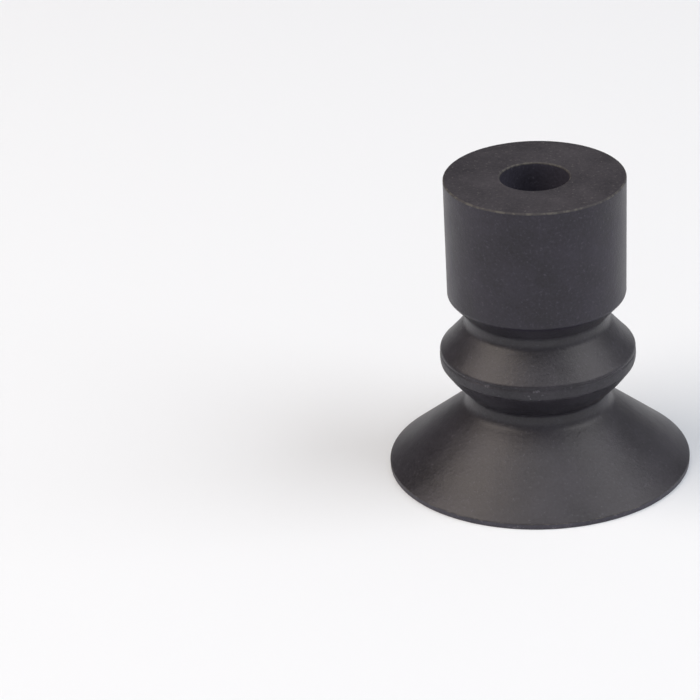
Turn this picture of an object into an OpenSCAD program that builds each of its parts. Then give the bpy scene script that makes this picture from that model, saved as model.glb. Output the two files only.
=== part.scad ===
// Bellows vacuum suction cup: one moulding of soft black rubber, turned about the Z axis.
// It stands on its sealing edge at Z = 0 and is divided at the planes where it folds.

/* [Neck] */
// Diameter of the neck at its lower edge
neck_d = 17.6; // [15.5:0.1:24]
// Height of the neck
neck_h = 12.1; // [9:0.1:20]
// Growth of the neck's radius from its lower edge up to the top rim
neck_flare = 0.12; // [0:0.01:0.5]
// Diameter of the bore that grips the shank of a nipple
bore_d = 6.8; // [5:0.1:9]
// Diameter of the undercut socket that holds the nipple's head
socket_d = 12; // [10.5:0.1:14]
// Height of the undercut socket
socket_h = 4.4; // [3:0.1:6]
// Thickness of the ledge under the socket
ledge_h = 0.6; // [0.4:0.1:1.2]

/* [Upper waist] */
// Diameter of the waist between the neck and the fold, at its narrowest point
waist_d = 14.1; // [12.5:0.1:15]
// Wall of the waist at its narrowest point
waist_wall = 2.15; // [1.2:0.05:2.6]
// Height of the slanted undercut between the waist and the neck
undercut_h = 1.95; // [1:0.05:3]
// Height of the steep collar at the foot of the waist
collar_h = 1.15; // [0.6:0.05:2]
// Growth of the collar's radius down to its foot
collar_flare = 0.08; // [0:0.01:0.4]

/* [Fold] */
// Diameter at the crest of the fold
crest_d = 19.4; // [18:0.1:23]
// Height of the crest band
crest_h = 1.65; // [1:0.05:2.5]
// Wall at the edges of the crest band
crest_wall = 1.7; // [1.2:0.05:2.2]
// Bulge of the crest band, outside and inside
crest_bulge = 0.25; // [0:0.01:0.4]
// Height of the upper flank
upper_flank_h = 2.7; // [2:0.1:4]
// Outward bow of the upper flank
upper_flank_bow = 0.03; // [0:0.01:0.3]
// Height of the lower flank
lower_flank_h = 2.95; // [2:0.05:4]
// Outward bow of the lower flank
lower_flank_bow = 0.12; // [0:0.01:0.3]

/* [Lower waist] */
// Diameter of the waist between the fold and the cup, at its narrowest point
root_d = 14.1; // [13:0.1:15]
// Wall of the lower waist at its narrowest point
root_wall = 2.1; // [1.4:0.05:2.6]
// Height of the steep collar at the foot of the lower waist
root_h = 1.35; // [0.6:0.05:2]
// Height of the flank's foot that bends together with the lower waist
root_reach = 0.35; // [0.2:0.05:1]

/* [Cup] */
// Diameter of the sealing lip
lip_d = 30; // [26:0.5:36]
// Height of the thin sealing edge
edge_h = 0.45; // [0.3:0.05:0.8]
// Width of the flat that the edge seals with
edge_w = 0.35; // [0.2:0.05:0.6]
// Undercut of the sealing edge at its foot
edge_undercut = 0.1; // [0:0.02:0.2]
// Depth of the cup from the sealing plane to its flat floor
cup_depth = 2.8; // [2:0.1:4]
// Diameter of the flat floor round the suction hole
floor_d = 13.6; // [11.5:0.1:14]
// Diameter of the suction hole
hole_d = 9.5; // [7:0.1:10.5]
// Height of the skirt above the floor
skirt_h = 4.15; // [3.5:0.05:6]
// Diameter at the top of the skirt
skirt_top_d = 14.3; // [14.2:0.1:16]
// Hollow of the skirt's outer face, measured from its chord
skirt_hollow = 0.06; // [0:0.02:0.5]

/* [Hidden] */
$fn = 128;
rubber = "#3c3b3d";
bow_steps = 8;

// Levels, from the sealing plane up
z_floor = cup_depth;
z_skirt_top = z_floor + skirt_h;
z_root = z_skirt_top + root_h;
z_lower_flank = z_root + root_reach;
z_crest = z_root + lower_flank_h;
z_crest_top = z_crest + crest_h;
z_collar = z_crest_top + upper_flank_h;
z_waist = z_collar + collar_h;
z_neck = z_waist + undercut_h;
z_ledge = z_neck + ledge_h;
z_bore = z_ledge + socket_h;
z_top = z_neck + neck_h;

// Radii
neck_r = neck_d / 2;
waist_r = waist_d / 2;
throat_r = waist_r - waist_wall;
crest_r = crest_d / 2 - crest_bulge;
chamber_r = crest_r - crest_wall;
root_r = root_d / 2;
lip_r = lip_d / 2;
foot_r = lip_r - edge_undercut;
floor_r = floor_d / 2;

// Points of a shallow bow from a to b that stands out by height on the right of that way
function bow(a, b, height) =
  let (side = [b.y - a.y, a.x - b.x] / norm(b - a))
  [for (i = [0:bow_steps]) let (t = i / bow_steps) a + t * (b - a) + 4 * height * t * (1 - t) * side];

// Outside of the moulding, from the sealing plane up to the top rim
outside = concat(
  [[foot_r, 0]],
  bow([lip_r, edge_h], [skirt_top_d / 2, z_skirt_top], -skirt_hollow),
  bow([root_r, z_root], [crest_r, z_crest], lower_flank_bow),
  bow([crest_r, z_crest], [crest_r, z_crest_top], crest_bulge),
  bow([crest_r, z_crest_top], [waist_r + collar_flare, z_collar], upper_flank_bow),
  [[waist_r, z_waist]],
  [[neck_r, z_neck], [neck_r + neck_flare, z_top]]
);

// Inside of the moulding, from the top of the bore down to the sealing flat
inside = concat(
  [[bore_d / 2, z_top], [bore_d / 2, z_bore]],
  [[socket_d / 2, z_bore], [socket_d / 2, z_ledge]],
  [[throat_r, z_ledge], [throat_r, z_waist]],
  bow([chamber_r, z_crest_top], [chamber_r, z_crest], -crest_bulge),
  [[root_r - root_wall, z_root]],
  [[hole_d / 2, z_skirt_top], [hole_d / 2, z_floor]],
  [[floor_r, z_floor], [foot_r - edge_w, 0]]
);

// The part of the moulding between two levels and two radii
module zone(low, high, inner = 0, outer = max(lip_d, crest_d, neck_d)) {
  rotate_extrude()
    intersection() {
      polygon(concat(outside, inside));
      translate([inner, low]) square([outer - inner, high - low]);
    }
}

// Thick straight neck with the bore and the undercut socket for a nipple
module mounting_neck() {
  color(rubber) zone(z_neck, z_top);
}

// Waist under the neck, which bends when the cup tilts
module upper_waist() {
  color(rubber) zone(z_collar, z_neck);
}

// Cone that opens from the waist down to the crest and flattens as the cup is pressed
module upper_flank() {
  color(rubber) zone(z_crest_top, z_collar);
}

// Rounded band at the widest point of the fold, where the mould halves part
module bellows_crest() {
  color(rubber) zone(z_crest, z_crest_top);
}

// Cone that closes from the crest down to the lower waist and flattens as the cup is pressed
module lower_flank() {
  color(rubber) zone(z_lower_flank, z_crest);
}

// Waist above the cup, which bends when the cup tilts the other way
module lower_waist() {
  color(rubber) zone(z_skirt_top, z_lower_flank);
}

// Flat floor of the cup round the suction hole
module cup_floor() {
  color(rubber) zone(z_floor, z_skirt_top, 0, floor_r);
}

// Thick root of the cup's skirt round the floor
module lip_skirt() {
  color(rubber) zone(z_floor, z_skirt_top, floor_r, lip_r);
}

// Tapered lip that flattens against the load
module sealing_lip() {
  color(rubber) zone(edge_h, z_floor);
}

// Thin edge that touches the load all round
module sealing_edge() {
  color(rubber) zone(0, edge_h);
}

mounting_neck();
upper_waist();
upper_flank();
bellows_crest();
lower_flank();
lower_waist();
cup_floor();
lip_skirt();
sealing_lip();
sealing_edge();
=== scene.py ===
import math

import bmesh
import bpy
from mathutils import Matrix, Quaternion, Vector, noise


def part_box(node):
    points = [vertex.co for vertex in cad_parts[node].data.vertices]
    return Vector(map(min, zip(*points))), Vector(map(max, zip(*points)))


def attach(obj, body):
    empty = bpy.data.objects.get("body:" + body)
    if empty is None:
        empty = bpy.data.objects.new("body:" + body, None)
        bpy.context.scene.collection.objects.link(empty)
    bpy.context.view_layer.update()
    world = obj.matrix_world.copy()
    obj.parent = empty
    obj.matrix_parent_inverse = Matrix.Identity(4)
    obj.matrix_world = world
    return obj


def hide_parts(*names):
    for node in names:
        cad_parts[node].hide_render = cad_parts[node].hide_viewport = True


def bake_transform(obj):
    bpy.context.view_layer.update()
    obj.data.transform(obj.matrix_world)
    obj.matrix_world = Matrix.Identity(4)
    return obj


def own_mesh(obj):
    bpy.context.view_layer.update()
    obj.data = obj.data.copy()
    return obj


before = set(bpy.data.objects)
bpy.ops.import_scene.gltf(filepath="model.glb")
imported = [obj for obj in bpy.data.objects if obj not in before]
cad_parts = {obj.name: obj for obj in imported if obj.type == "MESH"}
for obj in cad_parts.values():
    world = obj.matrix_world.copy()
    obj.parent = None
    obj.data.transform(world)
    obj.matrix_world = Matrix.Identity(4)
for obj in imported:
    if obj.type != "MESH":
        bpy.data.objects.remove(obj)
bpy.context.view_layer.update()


# Mounting neck: the thick tube that grips the nipple of a gripper, with a bore for its shank and an
# undercut socket for its head. It is moulded of black nitrile rubber in one with the bellows, and its
# top is cut flat afterwards, which leaves a dull face with sharp, scuffed edges. The pale colour of those
# edges is partly wear and partly a painted highlight.

MM = 0.001
STEPS_ROUND = 256
STEPS_FILLET = 6
LONGEST_EDGE = 0.4
MERGE_DISTANCE = 0.002
SHARP_ANGLE = math.radians(25)


def levels(zone):
    """Lowest and highest level of a CAD zone, in mm."""
    low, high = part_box(zone)
    return low.z / MM, high.z / MM


def reach(zone):
    """Largest radius of a CAD zone, in mm."""
    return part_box(zone)[1].x / MM


def turned(section, fillets=()):
    """A closed ring, spun about Z. Section holds its corners as (radius, height) in mm, and fillets
    the corners to round as (index, mm cut off each side)."""
    bm = bmesh.new()
    corners = [bm.verts.new((radius * MM, 0, height * MM)) for radius, height in section]
    bm.faces.new(corners)
    for index, cut in fillets:
        bmesh.ops.bevel(
            bm, geom=[corners[index]], offset=cut * MM, offset_type="OFFSET", affect="VERTICES",
            segments=STEPS_FILLET, profile=0.5, material=-1,
        )
    bmesh.ops.delete(bm, geom=bm.faces[:], context="FACES_ONLY")
    for edge in bm.edges[:]:
        cuts = int(edge.calc_length() / (LONGEST_EDGE * MM))
        if cuts:
            bmesh.ops.subdivide_edges(bm, edges=[edge], cuts=cuts)
    bmesh.ops.spin(
        bm, geom=bm.verts[:] + bm.edges[:], cent=(0, 0, 0), axis=(0, 0, 1), angle=math.tau,
        steps=STEPS_ROUND, use_merge=True,
    )
    bmesh.ops.remove_doubles(bm, verts=bm.verts, dist=MERGE_DISTANCE * MM)
    bmesh.ops.recalc_face_normals(bm, faces=bm.faces)
    return bm


def rubber_piece(name, zone, bm, *finishes):
    """The object of a moulded zone, which stands for the CAD zone in the same place."""
    for face in bm.faces:
        face.smooth = True
    for edge in bm.edges:
        edge.smooth = edge.calc_face_angle() < SHARP_ANGLE
    mesh = bpy.data.meshes.new(name)
    bm.to_mesh(mesh)
    bm.free()
    for finish in finishes:
        mesh.materials.append(finish)
    piece = bpy.data.objects.new(name, mesh)
    bpy.context.scene.collection.objects.link(piece)
    piece.modifiers.new("even_shading", "WEIGHTED_NORMAL").keep_sharp = True
    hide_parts(zone)
    return piece


def linear(colour):
    """Linear RGBA of an sRGB hex colour."""
    parts = [int(colour[i:i + 2], 16) / 255 for i in (1, 3, 5)]
    return [p / 12.92 if p <= 0.04045 else ((p + 0.055) / 1.055) ** 2.4 for p in parts] + [1]


def add_node(tree, kind, settings=None, inputs=None):
    """Adds a node with its settings; an input takes a value or another node's output."""
    node = tree.nodes.new(kind)
    for key, value in (settings or {}).items():
        setattr(node, key, value)
    for socket, value in (inputs or {}).items():
        if isinstance(value, bpy.types.NodeSocket):
            tree.links.new(value, node.inputs[socket])
        else:
            node.inputs[socket].default_value = value
    return node


def nitrile_rubber(
        name, dark, pale, fleck, fleck_from, fleck_size, roughness, specular, grain_depth, ring_depth):
    """Black nitrile rubber. Carbon black and oil give a nearly black, faintly blue body under a soft, wide
    gloss. A bloom of wax clouds it over a few mm, and the soft wall is never quite true, so the gloss
    wavers. The grit of the mould gives it a fine grain, and the turned mould prints faint rings. Flecks of
    dust and scuffs show where a noise passes fleck_from. The grain and the flecks are drawn coarser than
    the real ones, so that they show. Sizes and depths are in mm."""
    material = bpy.data.materials.new(name)
    material.use_nodes = True
    tree = material.node_tree
    tree.nodes.clear()
    place = add_node(tree, "ShaderNodeTexCoord").outputs["Object"]

    bloom_size, wave_depth, grain_size, ring_spacing = 4.0, 0.1, 0.3, 0.35
    blotches_from, blotches_to = 0.65, 1.35
    fleck_border, gloss_change, rubber_ior = 0.1, 0.05, 1.5
    bloom = add_node(tree, "ShaderNodeTexNoise", None, {
        "Vector": place, "Scale": 1 / (bloom_size * MM), "Detail": 2,
    }).outputs["Fac"]
    grain = add_node(tree, "ShaderNodeTexNoise", None, {
        "Vector": place, "Scale": 1 / (grain_size * MM), "Detail": 4, "Roughness": 0.65,
    }).outputs["Fac"]
    blotches = add_node(tree, "ShaderNodeMath", {"operation": "ADD"}, {0: bloom, 1: grain}).outputs[0]
    paleness = add_node(tree, "ShaderNodeMapRange", None, {
        "Value": blotches, "From Min": blotches_from, "From Max": blotches_to,
    }).outputs["Result"]
    body = add_node(tree, "ShaderNodeMix", {"data_type": "RGBA"}, {
        "Factor": paleness, "A": linear(dark), "B": linear(pale),
    }).outputs["Result"]

    dust = add_node(tree, "ShaderNodeTexNoise", None, {
        "Vector": place, "Scale": 1 / (fleck_size * MM), "Detail": 2, "Roughness": 0.7,
    }).outputs["Fac"]
    flecks = add_node(tree, "ShaderNodeMapRange", None, {
        "Value": dust, "From Min": fleck_from, "From Max": fleck_from + fleck_border,
    }).outputs["Result"]
    colour = add_node(tree, "ShaderNodeMix", {"data_type": "RGBA"}, {
        "Factor": flecks, "A": body, "B": linear(fleck),
    }).outputs["Result"]

    level = add_node(tree, "ShaderNodeVectorMath", {"operation": "MULTIPLY"}, {
        0: place, 1: (1, 1, 0),
    }).outputs[0]
    radius = add_node(tree, "ShaderNodeVectorMath", {"operation": "LENGTH"}, {0: level}).outputs["Value"]
    height = add_node(tree, "ShaderNodeSeparateXYZ", None, {0: place}).outputs["Z"]
    along = add_node(tree, "ShaderNodeMath", {"operation": "SUBTRACT"}, {0: radius, 1: height}).outputs[0]
    rings = add_node(tree, "ShaderNodeTexNoise", {"noise_dimensions": "1D"}, {
        "W": along, "Scale": 1 / (ring_spacing * MM), "Detail": 1,
    }).outputs["Fac"]
    ringed = add_node(tree, "ShaderNodeBump", None, {
        "Height": rings, "Distance": ring_depth * MM,
    }).outputs["Normal"]
    wavy = add_node(tree, "ShaderNodeBump", None, {
        "Height": bloom, "Distance": wave_depth * MM, "Normal": ringed,
    }).outputs["Normal"]
    grained = add_node(tree, "ShaderNodeBump", None, {
        "Height": grain, "Distance": grain_depth * MM, "Normal": wavy,
    }).outputs["Normal"]
    dullness = add_node(tree, "ShaderNodeMapRange", None, {
        "Value": blotches, "From Min": blotches_from, "From Max": blotches_to,
        "To Min": roughness - gloss_change, "To Max": roughness + gloss_change,
    }).outputs["Result"]
    shader = add_node(tree, "ShaderNodeBsdfPrincipled", None, {
        "Base Color": colour, "Roughness": dullness, "IOR": rubber_ior,
        "Specular IOR Level": specular, "Normal": grained,
    })
    add_node(tree, "ShaderNodeOutputMaterial", None, {"Surface": shader.outputs["BSDF"]})
    return material


# Moulded is the finish of the bellows and the cup. The neck's finish is a copy of it in a darker colour,
# which is painted shade for the dimmer reflection of the neck and the shade at the start of its undercut.
# Dusted is for the bore and its socket, cut for the top face, and scuffed for edges that are worn and
# carry a painted highlight.
moulded = nitrile_rubber(
    "moulded_nitrile_rubber", dark="#1c1a20", pale="#35333a", fleck="#444249", fleck_from=0.64,
    fleck_size=0.3, roughness=0.4, specular=0.48, grain_depth=0.03, ring_depth=0.003)
# The neck's finish: darker than moulded, as painted shade.
matt_and_shaded = nitrile_rubber(
    "matt_and_shaded_nitrile_rubber", dark="#130f1a", pale="#2d2936", fleck="#383540", fleck_from=0.62,
    fleck_size=0.3, roughness=0.42, specular=0.47, grain_depth=0.028, ring_depth=0.003)
dusted = nitrile_rubber(
    "dusted_nitrile_rubber", dark="#302f38", pale="#444350", fleck="#4d4c56", fleck_from=0.62,
    fleck_size=0.3, roughness=0.7, specular=0.2, grain_depth=0.02, ring_depth=0)
cut = nitrile_rubber(
    "cut_nitrile_rubber", dark="#2e2d32", pale="#464449", fleck="#545254", fleck_from=0.6,
    fleck_size=0.35, roughness=0.7, specular=0.2, grain_depth=0.035, ring_depth=0)
# Pale rubber for the edges: its pale colour is partly wear and partly a painted highlight.
scuffed_and_highlit = nitrile_rubber(
    "scuffed_and_highlit_nitrile_rubber", dark="#39373a", pale="#494748", fleck="#565451", fleck_from=0.5,
    fleck_size=0.8, roughness=0.6, specular=0.3, grain_depth=0.03, ring_depth=0)

neck_low, neck_top = levels("mounting_neck")
neck_radius = reach("upper_waist")
rim_radius, rim_fillet = reach("mounting_neck"), 0.18
bore_radius = 3.4
socket_radius, socket_low, socket_top = 6.0, 19.3, 23.7
socket_fillet, ledge_fillet = 0.5, 0.12
throat_radius = 4.9
waist_radius, waist_level = 7.05, 16.6
edge_drop, edge_fillet = 0.15, 0.2
edge_level = neck_low - edge_drop

# The rounded lower edge runs a little way down the undercut, where the waist takes over.
crease_run = 0.35
neck_end = edge_level - crease_run
undercut = (neck_radius - waist_radius) / (edge_level - waist_level)
neck_end_radius = neck_radius - undercut * (edge_level - neck_end)

neck_ring = turned(
    [
        (bore_radius, neck_top), (bore_radius, socket_top), (socket_radius, socket_top),
        (socket_radius, socket_low), (throat_radius, socket_low), (throat_radius, neck_end),
        (neck_end_radius, neck_end), (neck_radius, edge_level), (rim_radius, neck_top),
    ],
    [
        (0, rim_fillet), (1, ledge_fillet), (2, socket_fillet), (3, socket_fillet),
        (4, ledge_fillet), (7, edge_fillet), (8, rim_fillet),
    ],
)
# The top gets the cut finish, the rounded rim the scuffed one (pale, partly wear and partly a painted
# highlight), the bore the dusted one; the rest keeps the neck's darker finish, which is painted shade.
for face in neck_ring.faces:
    middle = face.calc_center_median()
    is_level = face.normal.z > 0.99
    if middle.z > (neck_top - rim_fillet) * MM:
        face.material_index = 1 if is_level else 2
    elif middle.xy.length < (socket_radius + 0.1) * MM:
        face.material_index = 3
neck = rubber_piece("rubber_neck", "mounting_neck", neck_ring, matt_and_shaded, cut, scuffed_and_highlit, dusted)
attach(neck, "neck")


# Upper waist: the wall between the neck and the fold, pinched in so that it bends like a hinge when the
# cup tilts. An undercut leads in from the neck, and a steep collar leads out to the fold; the creases
# are rounded, because a sharp one would tear.

collar_low = levels("upper_waist")[0]
collar_radius = 7.13
throat_fillet, collar_fillet, waist_fillet = 0.5, 0.3, 0.4
fold_top_level, fold_top_radius = levels("upper_flank")[0], reach("upper_flank")
chamber_radius = 7.75

# The crease at the collar's foot runs a little way down the flank, where the flank takes over.
collar_end = collar_low - crease_run
flank_slope = (fold_top_radius - collar_radius) / (collar_low - fold_top_level)
collar_end_radius = collar_radius + flank_slope * (collar_low - collar_end)
roof_slope = (chamber_radius - throat_radius) / (waist_level - fold_top_level)
roof_radius = throat_radius + roof_slope * (waist_level - collar_end)

upper_waist = rubber_piece("rubber_upper_waist", "upper_waist", turned(
    [
        (throat_radius, neck_end), (throat_radius, waist_level), (roof_radius, collar_end),
        (collar_end_radius, collar_end), (collar_radius, collar_low), (waist_radius, waist_level),
        (neck_end_radius, neck_end),
    ],
    [(1, throat_fillet), (4, collar_fillet), (5, waist_fillet)],
), moulded)
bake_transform(upper_waist)


# Upper flank: the cone of the fold that faces up. It is a plain moulded wall of nitrile rubber, and it
# flattens as the fold closes under the load's weight or the vacuum.


def bow(start, end, height, steps=8):
    """Points of a shallow bow from start to end, in mm. It stands out by height on the right of that
    way, and a negative height makes it hollow."""
    way = Vector(end) - Vector(start)
    side = Vector((way.y, -way.x)).normalized()
    shares = [i / steps for i in range(steps + 1)]
    return [tuple(Vector(start) + way * s + side * (4 * height * s * (1 - s))) for s in shares]


# Zones that move on each other are kept a hair apart, so that their end faces never cut in.
JOIN_GAP = 0.005
upper_bow = -0.03

# The flank ends a little above the crest, whose shoulder takes over.
flank_end = fold_top_level + 0.2
flank_end_radius = fold_top_radius - flank_slope * (flank_end - fold_top_level)
roof_end_radius = chamber_radius - roof_slope * (flank_end - fold_top_level)
upper_flank = rubber_piece("rubber_upper_flank", "upper_flank", turned(
    [(roof_radius, collar_end), (roof_end_radius, flank_end)]
    + bow((flank_end_radius, flank_end), (collar_end_radius, collar_end), upper_bow),
), moulded)
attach(upper_flank, "bellows_top")
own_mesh(upper_flank)


# Crest: the rounded band at the widest point of the fold. The mould parts here, so a thin flash was
# trimmed off by hand, which leaves a dull, slightly ragged band with pale scuffs.

crest_low, crest_top = levels("bellows_crest")
crest_radius = reach("bellows_crest")
crest_bulge = crest_radius - fold_top_radius
crest_foot_radius, rim_level = 9.58, 12.55

# From the flank down come a low rim, the groove of the parting line, and the band with its foot.
shoulder, shoulder_fillet = (9.61, 12.75), 0.1
low_rim, low_rim_fillet = (9.67, rim_level), 0.06
groove, groove_fillet = (9.6, 12.38), 0.05
band_top, band_top_fillet = (9.69, 12.2), 0.06
band_middle = (crest_radius, 11.95)
band_foot, band_foot_fillet = (9.67, 11.38), 0.15
crest_ring = turned(
    [
        (roof_end_radius, flank_end - JOIN_GAP), (flank_end_radius, flank_end - JOIN_GAP),
        shoulder, low_rim, groove, band_top, band_middle, band_foot, (crest_foot_radius, crest_low),
    ]
    + bow((chamber_radius, crest_low), (chamber_radius, crest_top), crest_bulge),
    [
        (2, shoulder_fillet), (3, low_rim_fillet), (4, groove_fillet), (5, band_top_fillet),
        (7, band_foot_fillet),
    ],
)

# The knife left nicks, which change along the band and up it, and longer, shallower swells.
trim_depth, nicks_along, nicks_up, swells_along, swell_share = 0.02, 1.7, 3, 0.5, 0.5
for corner in crest_ring.verts:
    radius, height = corner.co.xy.length / MM, corner.co.z / MM
    if radius > crest_foot_radius and height < rim_level:
        place = Vector((corner.co.x, corner.co.y, 0)) / MM
        nicks = noise.noise(place * nicks_along + Vector((0, 0, height * nicks_up)))
        ragged = nicks + swell_share * noise.noise(place * swells_along)
        corner.co.xy *= 1 - trim_depth * (1 + ragged) / radius
for face in crest_ring.faces:
    middle = face.calc_center_median()
    if middle.xy.length > crest_foot_radius * MM and middle.z < rim_level * MM:
        face.material_index = 1
trimmed = nitrile_rubber(
    "trimmed_nitrile_rubber", dark="#1c1b21", pale="#39373e", fleck="#535158", fleck_from=0.64,
    fleck_size=0.5, roughness=0.45, specular=0.42, grain_depth=0.04, ring_depth=0)
crest = rubber_piece("rubber_crest", "bellows_crest", crest_ring, moulded, trimmed)
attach(crest, "crest")


# Lower flank: the cone of the fold that faces down, a little bowed. It is a plain moulded wall like the
# upper one and flattens together with it.

flank_foot_level, flank_foot_radius = levels("lower_flank")[0], reach("lower_waist")
root_radius, root_level, root_wall = 7.05, 8.3, 2.1
lower_bow = 0.1
floor_slope = (chamber_radius - root_radius + root_wall) / (crest_low - root_level)
chamber_foot_radius = root_radius - root_wall + floor_slope * (flank_foot_level - root_level)
lower_flank = rubber_piece("rubber_lower_flank", "lower_flank", turned(
    bow((flank_foot_radius, flank_foot_level), (crest_foot_radius, crest_low), lower_bow)
    + [(chamber_radius, crest_low), (chamber_foot_radius, flank_foot_level)],
), moulded)
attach(lower_flank, "crest")
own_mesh(lower_flank)


# Lower waist: the wall between the fold and the cup, pinched in like the upper one, so that the cup can
# tilt the other way. Its steep collar ends in a rounded crease on top of the skirt.

skirt_top, skirt_top_radius = levels("lower_waist")[0], 7.08
hole_radius = 4.75
root_fillet, chamber_fillet, skirt_fillet = 0.25, 0.3, 0.6

# The skirt is a straight cone down to the upper corner of the sealing edge, which stands a little higher
# and further in than that of the CAD.
edge_rise, edge_trim = 0.13, 0.04
edge_top, edge_radius = levels("sealing_lip")[0] + edge_rise, reach("sealing_lip") - edge_trim
skirt_slope = (edge_radius - skirt_top_radius) / (skirt_top - edge_top)
waist_end = skirt_top - skirt_fillet
waist_end_radius = skirt_top_radius + skirt_slope * (skirt_top - waist_end)
lower_waist = rubber_piece("rubber_lower_waist", "lower_waist", turned(
    [
        (chamber_foot_radius, flank_foot_level - JOIN_GAP), (root_radius - root_wall, root_level),
        (hole_radius, skirt_top), (hole_radius, waist_end), (waist_end_radius, waist_end),
        (skirt_top_radius, skirt_top), (root_radius, root_level),
        (flank_foot_radius, flank_foot_level - JOIN_GAP),
    ],
    [(1, chamber_fillet), (5, skirt_fillet), (6, root_fillet)],
), moulded)
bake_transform(lower_waist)


# Cup floor: the flat ring round the suction hole, inside the cup. It stays stiff while the lip spreads,
# and it stops the load from being drawn into the hole.

floor_level, floor_radius = levels("cup_floor")[0], reach("cup_floor")
hole_fillet = 0.15
cup_floor = rubber_piece("rubber_cup_floor", "cup_floor", turned(
    [
        (hole_radius, waist_end), (hole_radius, floor_level), (floor_radius, floor_level),
        (floor_radius, waist_end),
    ],
    [(1, hole_fillet)],
), moulded)
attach(cup_floor, "cup")


# Skirt: the thick root of the cup round its floor. Its outer cone is a smooth moulded face on which the
# turned mould shows as faint rings.

skirt_foot_radius = skirt_top_radius + skirt_slope * (skirt_top - floor_level)
skirt = rubber_piece("rubber_skirt", "lip_skirt", turned(
    [
        (floor_radius, waist_end), (floor_radius, floor_level), (skirt_foot_radius, floor_level),
        (waist_end_radius, waist_end),
    ],
), moulded)
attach(skirt, "cup")


# Sealing lip: the tapered outer half of the cup, thin enough to spread flat on the load. Its inner face
# is moulded smooth, so that it seals.

flat_inner_radius = 14.55
face_slope = (flat_inner_radius - floor_radius) / floor_level

# The worn corner of the edge runs a little way up the lip, where the lip takes over.
lip_end = edge_top + 0.2
lip_end_radius = edge_radius - skirt_slope * (lip_end - edge_top)
face_end_radius = flat_inner_radius - face_slope * lip_end
lip = rubber_piece("rubber_lip", "sealing_lip", turned(
    [
        (floor_radius, floor_level), (face_end_radius, lip_end), (lip_end_radius, lip_end),
        (skirt_foot_radius, floor_level),
    ],
), moulded)
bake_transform(lip)


# Sealing edge: the thin rim that touches the load all round. It is trimmed to a narrow band outside and a
# flat below, so the band is dull. Its upper corner is painted pale, partly as wear and partly as a painted
# highlight.

flat_outer_radius, flat_fillet, corner_wear_and_highlight = 14.93, 0.06, 0.07
edge_ring = turned(
    [
        (face_end_radius, lip_end), (flat_inner_radius, 0), (flat_outer_radius, 0),
        (edge_radius, edge_top), (lip_end_radius, lip_end),
    ],
    [(2, flat_fillet), (3, corner_wear_and_highlight)],
)
# The rounded upper corner gets the pale scuffed finish, partly wear and partly a painted highlight.
for face in edge_ring.faces:
    middle = face.calc_center_median()
    if middle.xy.length > flat_outer_radius * MM and middle.z < (edge_top + corner_wear_and_highlight) * MM:
        face.material_index = 1 if middle.z < (edge_top - corner_wear_and_highlight) * MM else 2
worn = nitrile_rubber(
    "worn_nitrile_rubber", dark="#32303a", pale="#484650", fleck="#5c5a61", fleck_from=0.6,
    fleck_size=0.4, roughness=0.5, specular=0.4, grain_depth=0.04, ring_depth=0)
edge = rubber_piece("rubber_edge", "sealing_edge", edge_ring, moulded, worn, scuffed_and_highlit)
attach(edge, "lip")


# Table: a white matt sheet under the cup, wide enough to fill the picture from every side. It keeps the
# cup's soft shadow and throws light back on the neck and under the fold.

table_reach = 3
table_bm = bmesh.new()
bmesh.ops.create_grid(table_bm, x_segments=1, y_segments=1, size=table_reach)
table_mesh = bpy.data.meshes.new("table")
table_bm.to_mesh(table_mesh)
table_bm.free()
table = bpy.data.objects.new("table", table_mesh)
bpy.context.scene.collection.objects.link(table)
sheet = bpy.data.materials.new("white_matt_sheet")
sheet.use_nodes = True
sheet_tree = sheet.node_tree
sheet_tree.nodes.clear()
sheet_shader = add_node(sheet_tree, "ShaderNodeBsdfDiffuse", None, {"Color": linear("#eef3f8")})
add_node(sheet_tree, "ShaderNodeOutputMaterial", None, {"Surface": sheet_shader.outputs["BSDF"]})
table_mesh.materials.append(sheet)


# Studio light: three soft boxes above the cup, one to each side and a weaker one over the camera, in a
# pale room that is brightest to the right and a little in front. The left box is a little warmer.

CUP_MIDDLE = Vector((0, 0, 0.015))


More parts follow.
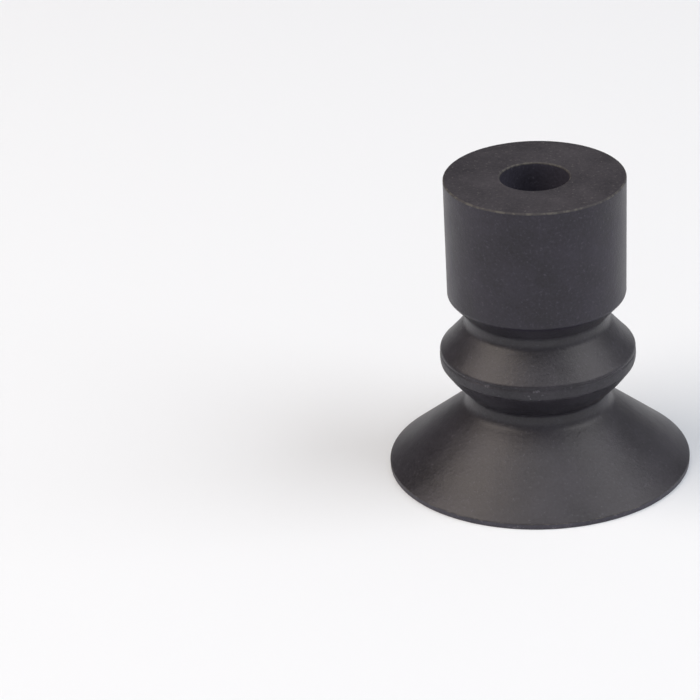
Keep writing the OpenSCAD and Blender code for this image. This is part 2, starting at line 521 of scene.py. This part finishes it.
def soft_box(name, place, width, depth, watts, colour):
    """A flat lamp that faces the cup."""
    lamp = bpy.data.lights.new(name, "AREA")
    lamp.shape = "RECTANGLE"
    lamp.size = width
    lamp.size_y = depth
    lamp.energy = watts
    lamp.color = linear(colour)[:3]
    box = bpy.data.objects.new(name, lamp)
    box.location = place
    box.rotation_euler = (CUP_MIDDLE - Vector(place)).to_track_quat("-Z", "Y").to_euler()
    bpy.context.scene.collection.objects.link(box)


soft_box("left_soft_box", (-0.53, -0.13, 0.62), 0.74, 0.64, 5.25, "#fdf0e4")
soft_box("right_soft_box", (0.58, -0.1, 0.59), 0.67, 0.64, 3.3, "#fdfbfb")
soft_box("top_soft_box", (0, -0.2, 0.78), 0.32, 0.4, 0.95, "#ffffff")
room = bpy.data.worlds.new("pale_room")
room.use_nodes = True
room_tree = room.node_tree
room_tree.nodes.clear()
way = add_node(room_tree, "ShaderNodeTexCoord").outputs["Generated"]
bright_side, dim_strength, bright_strength = (0.88, -0.475, 0), 0.02, 0.5
towards = add_node(room_tree, "ShaderNodeVectorMath", {"operation": "DOT_PRODUCT"}, {
    0: way, 1: bright_side,
}).outputs["Value"]
strength = add_node(room_tree, "ShaderNodeMapRange", None, {
    "Value": towards, "From Min": -1, "From Max": 1,
    "To Min": dim_strength, "To Max": bright_strength,
}).outputs["Result"]
wall = add_node(room_tree, "ShaderNodeBackground", None, {
    "Color": linear("#f4f4fa"), "Strength": strength,
})
add_node(room_tree, "ShaderNodeOutputWorld", None, {"Surface": wall.outputs["Background"]})
bpy.context.scene.world = room
bpy.context.scene.view_settings.view_transform = "Standard"


# Camera: a long lens that looks down on the cup from the front, turned to its left, so that the cup
# stands in the right half of the picture.

CAMERA_PLACE = Vector((0, -0.36081, 0.18768))
CAMERA_AIM = Vector((-0.0185, -0.00136, 0.01315))
CAMERA_ROLL = math.radians(-2.38)
lens = bpy.data.cameras.new("camera")
lens.sensor_width = 36
lens.lens = 208.57
camera = bpy.data.objects.new("camera", lens)
camera.location = CAMERA_PLACE
camera.rotation_mode = "QUATERNION"
facing = (CAMERA_AIM - CAMERA_PLACE).to_track_quat("-Z", "Y")
camera.rotation_quaternion = facing @ Quaternion((0, 0, 1), CAMERA_ROLL)
bpy.context.scene.collection.objects.link(camera)
bpy.context.scene.camera = camera
